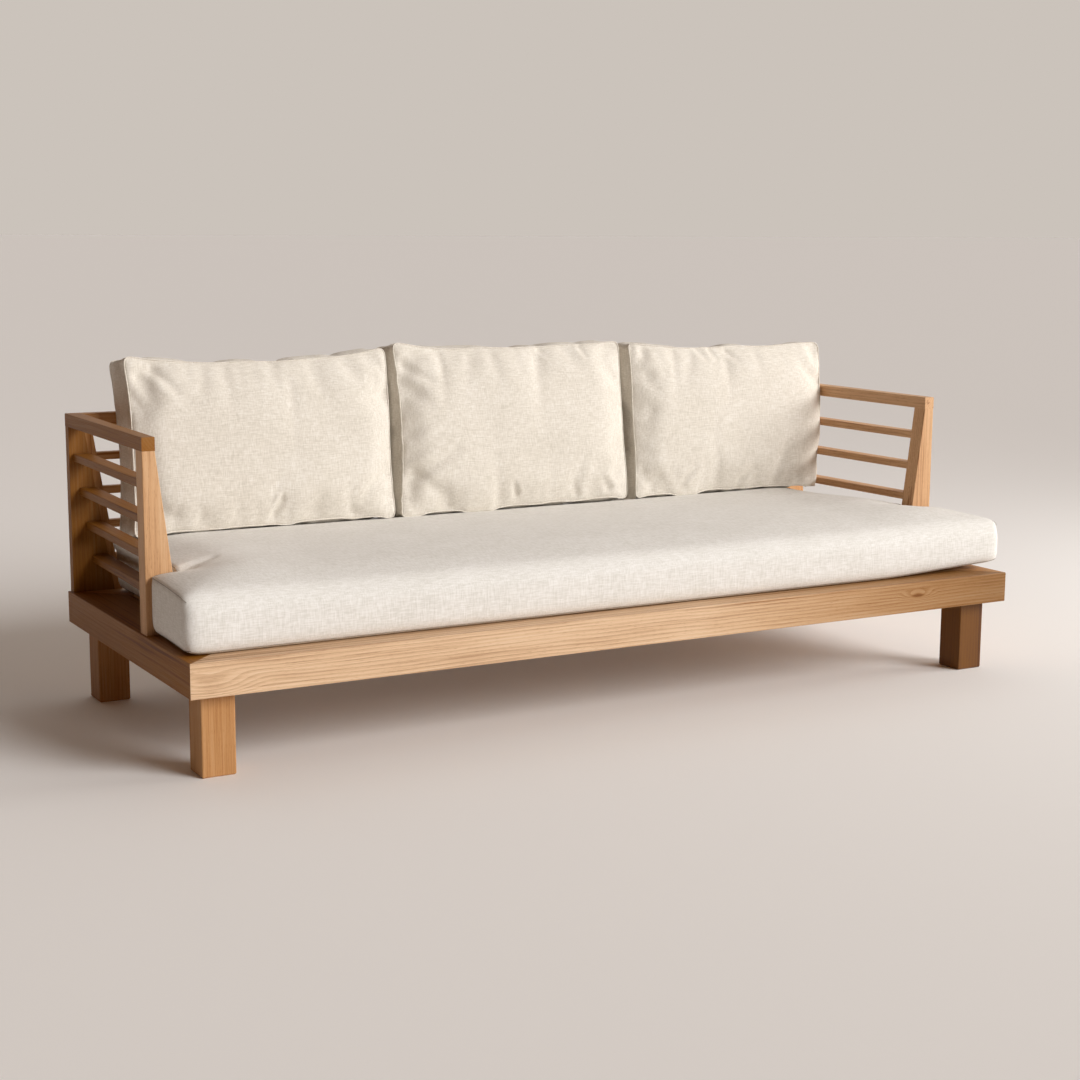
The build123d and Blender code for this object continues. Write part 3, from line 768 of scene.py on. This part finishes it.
def seatOutline(look):
    left, right, front, rear = look["left"], look["right"], look["front"], seatHigh.y
    return [
        (left, front), (right, front), (right, stepY), (bodyHalf, stepY),
        (bodyHalf, rear), (-bodyHalf, rear), (-bodyHalf, stepY), (left, stepY),
    ]


def edgeDistance(spot, outline):
    # how far inside the outline a point lies
    gaps = []
    for start, end in zip(outline, outline[1:] + outline[:1]):
        a, b = Vector(start), Vector(end)
        run = b - a
        share = min(1.0, max(0.0, (spot - a).dot(run) / run.length_squared))
        gaps.append((spot - a - run * share).length)
    return min(gaps)


def roundEdge(vertices, axisA, outA, limitA, axisB, outB, limitB, radius, where=None):
    # turns the square edge between two walls into an arc
    # out: +1 or -1, the side that the wall faces; limit: where it stands
    for v in vertices:
        if where and not where(v.co):
            continue
        a = radius - (limitA - v.co[axisA]) * outA
        b = radius - (limitB - v.co[axisB]) * outB
        if a <= 0 or b <= 0:
            continue
        shrink = max(a, b) / math.hypot(a, b)
        v.co[axisA] = limitA - outA * (radius - a * shrink)
        v.co[axisB] = limitB - outB * (radius - b * shrink)


def makeSeat(look):
    outline = seatOutline(look)
    low, high = look["lowZ"], look["rimZ"]
    breaks = [
        [look["left"], -bodyHalf, bodyHalf, look["right"]],
        [look["front"], stepY, seatHigh.y],
        [low, high],
    ]
    mesh = pad(outline, low, high, breaks, look["cell"])

    def seamCrease(edge):
        # the seams run round the bottom, and round the top except along the front
        a, b = edge.verts
        if abs(a.co.z - b.co.z) > tiny:
            return 0.0
        if sum(abs(face.normal.z) < 0.5 for face in edge.link_faces) != 1:
            return 0.0
        if abs(a.co.z - low) < tiny:
            return look["lowCrease"]
        if abs(a.co.z - high) > tiny or max(a.co.y, b.co.y) < look["front"] + tiny:
            return 0.0
        return look["topCrease"]

    markSeams(mesh, seamCrease)
    for v in mesh.verts:
        inside = edgeDistance(v.co.xy, outline)
        rise = (v.co.z - low) / (high - low)
        v.co.z += rise * look["crown"] * (1 - math.exp(-inside / look["crownReach"]))
    verts = mesh.verts
    for outX, limit in ((-1, look["left"]), (1, look["right"])):
        wing = (lambda co, s=outX: co.x * s > bodyHalf)
        behind = (lambda co, s=outX: co.y > stepY + 0.01 and co.x * s > 0.9)
        roundEdge(verts, 0, outX, limit, 2, -1, low, look["lowEndRound"], wing)
        roundEdge(verts, 0, outX, limit, 2, 1, high, look["topEndRound"], wing)
        roundEdge(verts, 0, outX, limit, 1, -1, look["front"], look["cornerRound"])
        roundEdge(verts, 0, outX, limit, 1, 1, stepY, look["notchRound"], wing)
        roundEdge(verts, 0, outX, outX * bodyHalf, 2, -1, low, look["lowRearRound"], behind)
    roundEdge(verts, 1, -1, look["front"], 2, 1, high, look["topFrontRound"])
    roundEdge(verts, 1, -1, look["front"], 2, -1, low, look["lowFrontRound"])
    piece = toObject(mesh, "seat_cushion_cover")
    inflate(piece, look, lambda co: look["cap"])
    subdivide(piece)
    return piece


def settleSeat(piece, look):
    notch = Vector((bodyHalf + 0.004, stepY + 0.006))
    notchEnd = notch + Vector(look["notchFold"])
    swellX, swellY = look["swellAt"]
    reachX, reachY = look["swellReach"]
    for v in piece.data.vertices:
        co = v.co
        # the foam is softer beside the posts, so the cloth dips inwards from each notch
        if co.z > seatHigh.z - 0.05 and abs(co.x) > bodyHalf - 0.2:
            spot = Vector((abs(co.x), co.y))
            co.z -= fold(spot, notch, notchEnd, look["notchDepth"], look["notchWidth"], 0.0)
        near = ((abs(co.x) - swellX) / reachX) ** 2 + ((co.y - swellY) / reachY) ** 2
        co.z += look["swell"] * math.exp(-near) * smoothStep(co.z, platformTop + 0.06, look["rimZ"])
        # the right front corner curls up a little
        share = smoothStep(co.x, look["liftFromX"], look["right"]) * smoothStep(-co.y, *look["liftFromY"])
        co.z += look["lift"] * share * (1 - smoothStep(co.z, platformTop, platformTop + look["liftHeight"]))
        co.z = max(co.z, platformTop + 0.0006)
        # the back cushions press it down
        if co.z > sitZ:
            co.z += (sitZ - co.z) * smoothStep(co.y, sitFront, sitFront + look["sitSlope"])
        # nothing passes the posts or the back's slats
        if co.y > stepY + 0.012:
            # above the lowest slat the cloth fills out to the posts
            wide = abs(co.x)
            full = smoothStep(co.z, lowSlat[1].z, lowSlat[1].z + look["fillHeight"])
            limit = bodyHalf + 0.0025 + (sideRoom(co.y, co.z) - look["postGap"] - bodyHalf) * full
            wide += (limit - bodyHalf - 0.002) * full * smoothStep(wide, bodyHalf - 0.08, bodyHalf)
            co.x = math.copysign(pressed(wide, limit, 0.006), co.x)
            co.y = pressed(co.y, slatPlane - 0.002, 0.008)
        elif abs(co.x) > bodyHalf + 0.004:
            co.y = pressed(co.y, frontPost[0].y - 0.0008, 0.006)


seatPiece = makeSeat(seat)
settleSeat(seatPiece, seat)
print("seat cushion made:", len(seatPiece.data.vertices), "points")

# back cushions: boxed covers over loose fibre; corners stand up and the long edges sag

back = {
    "cell": 0.0115,
    "thick": 0.114,          # gusset, seam to seam
    "faceCap": 0.034,        # how far the cloth may move: middle of a face, its seams, the gusset
    "seamCap": 0.007,
    "sideCap": 0.012,
    "capReach": 0.085,       # how far inside its seams a face may move fully
    "pressure": 3.4,
    "heldSeams": True,
    "share": 1.5,            # how much of the cloth's move is kept
    "calm": 1,               # rounds of evening out
    "quality": 6,
    "frames": 22,
    "bending": 1.1,
    "slack": -0.042,
    "gather": 0.006,
    "lean": math.radians(7.0),
    "frontY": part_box("back_cover_middle")[0].y + 0.003,     # the front seam, at the bottom
    "seamRadius": 0.0019,
    "cornerRound": 0.022,
    "crease": 0.8,           # how sharp the seams stay
    "unevenness": 0.0045,
    "unevenScale": 7.0,
    "earPower": 3.2,         # how close to its end the top edge turns up
    "foldSide": 0.6,         # folds fade out at this share of the depth from the middle to the seams
    "sagHeight": 0.20,       # how far up the bottom edge's levelling reaches
}
# top: height at the left corner, the middle and the right corner
# inwards: how far the left and the right edge bow in
# folds: start, end, depth, width
backPlaces = {
    "left": {
        "middleX": -0.690, "wide": 0.716, "top": (0.455, 0.430, 0.462), "seed": 3,
        "inwards": (0.014, 0.000),
        "folds": [
            ((-0.282, 0.415), (-0.231, 0.362), 0.007, 0.012),
            ((-0.326, 0.399), (-0.290, 0.334), 0.006, 0.018),
            ((-0.203, 0.331), (-0.189, 0.310), 0.003, 0.026),
            ((0.034, 0.070), (0.012, 0.027), 0.010, 0.008),
            ((-0.180, 0.045), (-0.194, 0.012), 0.0025, 0.008),
            ((-0.245, 0.060), (-0.258, 0.016), 0.0015, 0.009),
            ((-0.091, 0.034), (-0.101, 0.006), 0.0020, 0.007),
            ((0.023, 0.429), (0.045, 0.415), 0.005, 0.008),
            ((-0.353, 0.121), (-0.325, 0.087), 0.004, 0.012),
            ((0.340, 0.395), (0.329, 0.418), 0.004, 0.010),
            ((0.358, 0.076), (0.330, 0.039), 0.004, 0.014),
        ],
    },
    "middle": {
        "middleX": 0.044, "wide": 0.712, "top": (0.470, 0.446, 0.460), "seed": 11,
        "inwards": (0.014, 0.000),
        "folds": [
            ((-0.330, 0.408), (-0.240, 0.352), 0.006, 0.014),
            ((-0.335, 0.366), (-0.270, 0.300), 0.005, 0.018),
            ((-0.335, 0.219), (-0.255, 0.258), 0.004, 0.013),
            ((-0.330, 0.162), (-0.275, 0.192), 0.004, 0.013),
            ((-0.310, 0.108), (-0.195, 0.172), 0.006, 0.016),
            ((-0.009, 0.032), (-0.020, 0.063), 0.007, 0.008),
            ((0.289, 0.030), (0.270, 0.057), 0.007, 0.012),
            ((0.093, 0.438), (0.117, 0.423), 0.004, 0.008),
            ((0.221, 0.443), (0.237, 0.415), 0.004, 0.008),
            ((0.187, 0.022), (0.173, 0.057), 0.004, 0.010),
            ((-0.362, 0.051), (-0.330, 0.041), 0.006, 0.010),
        ],
    },
    "right": {
        "middleX": 0.774, "wide": 0.684, "top": (0.454, 0.428, 0.434), "seed": 23,
        "inwards": (0.006, 0.004),
        "folds": [
            ((-0.336, 0.452), (-0.331, 0.423), 0.006, 0.009),
            ((-0.298, 0.414), (-0.314, 0.374), 0.005, 0.016),
            ((-0.291, 0.352), (-0.267, 0.304), 0.005, 0.020),
            ((-0.286, 0.251), (-0.299, 0.211), 0.004, 0.018),
            ((-0.108, 0.422), (-0.085, 0.397), 0.004, 0.008),
            ((-0.066, 0.422), (-0.047, 0.396), 0.004, 0.008),
            ((-0.008, 0.414), (0.028, 0.388), 0.005, 0.008),
            ((-0.180, 0.054), (-0.146, 0.085), 0.005, 0.010),
            ((0.016, 0.027), (0.060, 0.061), 0.007, 0.010),
            ((0.341, 0.021), (0.320, 0.056), 0.005, 0.014),
        ],
    },
}


def levelBottom(piece, reach):
    # lets the uneven bottom edge down on to a level seat: each column moves by its lowest point
    lowest = {}
    step = 0.02
    for v in piece.data.vertices:
        column = round(v.co.x / step)
        lowest[column] = min(lowest.get(column, 1.0), v.co.z)
    for v in piece.data.vertices:
        place = v.co.x / step
        column = math.floor(place)
        here = lowest.get(column, 0.0)
        onward = lowest.get(column + 1, here)
        sag = here + (onward - here) * (place - column)
        v.co.z -= sag * (1 - smoothStep(v.co.z, 0.01, reach))


def armRoom(z):
    # half the clear width between the arms at a height
    upper, lower = topSlat[1].x, lowSlat[1].x
    share = (z - lowSlat[1].z) / (topSlat[1].z - lowSlat[1].z)
    share = min(1.25, max(0.0, share))       # the slant goes on for a little above the top slat
    return -(lower + (upper - lower) * share)


def makeBack(side, look, place):
    half = place["wide"] / 2
    deep = look["thick"] / 2
    tall = place["top"][1]
    mesh = pad(
        [(-half, -deep), (half, -deep), (half, deep), (-half, deep)], 0.0, tall,
        [[-half, half], [-deep, deep], [0.0, tall]], look["cell"],
    )

    def seamCrease(edge):
        # the seams are the two faces' outlines
        a, b = edge.verts
        if abs(a.co.y - b.co.y) > tiny or abs(abs(a.co.y) - deep) > tiny:
            return 0.0
        return look["crease"] if any(abs(face.normal.y) < 0.5 for face in edge.link_faces) else 0.0

    def capAt(co):
        # the seams hold their line; the faces between them fill out
        if abs(co.y) < deep - 0.006:         # more than the unevenness, so it is the gusset
            return look["sideCap"]
        inside = min(half - abs(co.x), co.z, tall - co.z)
        share = smoothStep(inside, -0.01, look["capReach"])
        return look["seamCap"] + (look["faceCap"] - look["seamCap"]) * share

    markSeams(mesh, seamCrease)
    for outX in (-1, 1):
        for outZ, limit in ((-1, 0.0), (1, tall)):
            roundEdge(mesh.verts, 0, outX, outX * half, 2, outZ, limit, look["cornerRound"])
    shift = Vector((place["seed"], 0, 0))
    for v in mesh.verts:
        v.co += noise.noise_vector(v.co * look["unevenScale"] + shift) * look["unevenness"]
    piece = toObject(mesh, "back_cushion_cover_" + side)
    inflate(piece, look, capAt)
    subdivide(piece)
    leftTop, middleTop, rightTop = place["top"]
    leftIn, rightIn = place["inwards"]
    folds = [(Vector(a), Vector(b), depth, width) for a, b, depth, width in place["folds"]]
    for v in piece.data.vertices:
        co = v.co
        u = co.x / half
        rise = co.z / tall
        # corners stand higher than the middle of the top edge
        ear = (leftTop if u < 0 else rightTop) - middleTop
        co.z += ear * abs(u) ** look["earPower"] * smoothStep(rise, 0.15, 1.0)
        bow = max(0.0, 1 - (2 * rise - 1) ** 2)
        co.x += bow * (leftIn * max(0.0, -u) ** 3 - rightIn * max(0.0, u) ** 3)
        # folds of the front face, and the same ones turned about on the rear face
        face = 1 if co.y < 0 else -1
        for start, end, depth, width in folds:
            dip = fold(Vector((co.x * face, co.z)), start, end, depth, width)
            co.y += face * dip * smoothStep(-co.y * face, deep * look["foldSide"], deep)
    levelBottom(piece, look["sagHeight"])
    turn = (
        Matrix.Translation((place["middleX"], look["frontY"] + deep, sitZ + 0.0012))
        @ Matrix.Rotation(-look["lean"], 4, "X")
    )
    piece.data.transform(turn)
    for v in piece.data.vertices:
        co = v.co
        co.z = max(co.z, sitZ + 0.0008)
        if co.z < railHigh.z + 0.002:
            co.y = pressed(co.y, slatPlane - 0.001, 0.010)
        room = armRoom(co.z) - 0.0015
        co.x = pressed(co.x, room, 0.006) if co.x > 0 else -pressed(-co.x, room, 0.006)
    return piece


backPieces = {}
for side, place in backPlaces.items():
    backPieces[side] = makeBack(side, back, place)
    print("back cushion made:", side, len(backPieces[side].data.vertices), "points")

# materials, bodies and seams
seatPiece.data.materials.append(seatLinen)
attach(seatPiece, "seat_cushion")
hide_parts("seat_cover", "seat_core_front", "seat_core_rear")
# painted shade: the seat's seam roll is in the darker linen, drawing its shaded groove as a dark line
seatSeamShadeLine = makeSeam("seat_cushion_seam_painted_shade", seamChains(seatPiece), seat["seamRadius"], seamShadeLinen)
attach(seatSeamShadeLine, "seat_cushion")
for side, piece in backPieces.items():
    piece.data.materials.append(backLinen)
    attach(piece, "back_cushion_" + side)
    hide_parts("back_cover_" + side, "back_core_" + side)
    welt = makeSeam("back_cushion_seam_" + side, seamChains(piece), back["seamRadius"], backLinen)
    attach(welt, "back_cushion_" + side)
print("cushions placed")
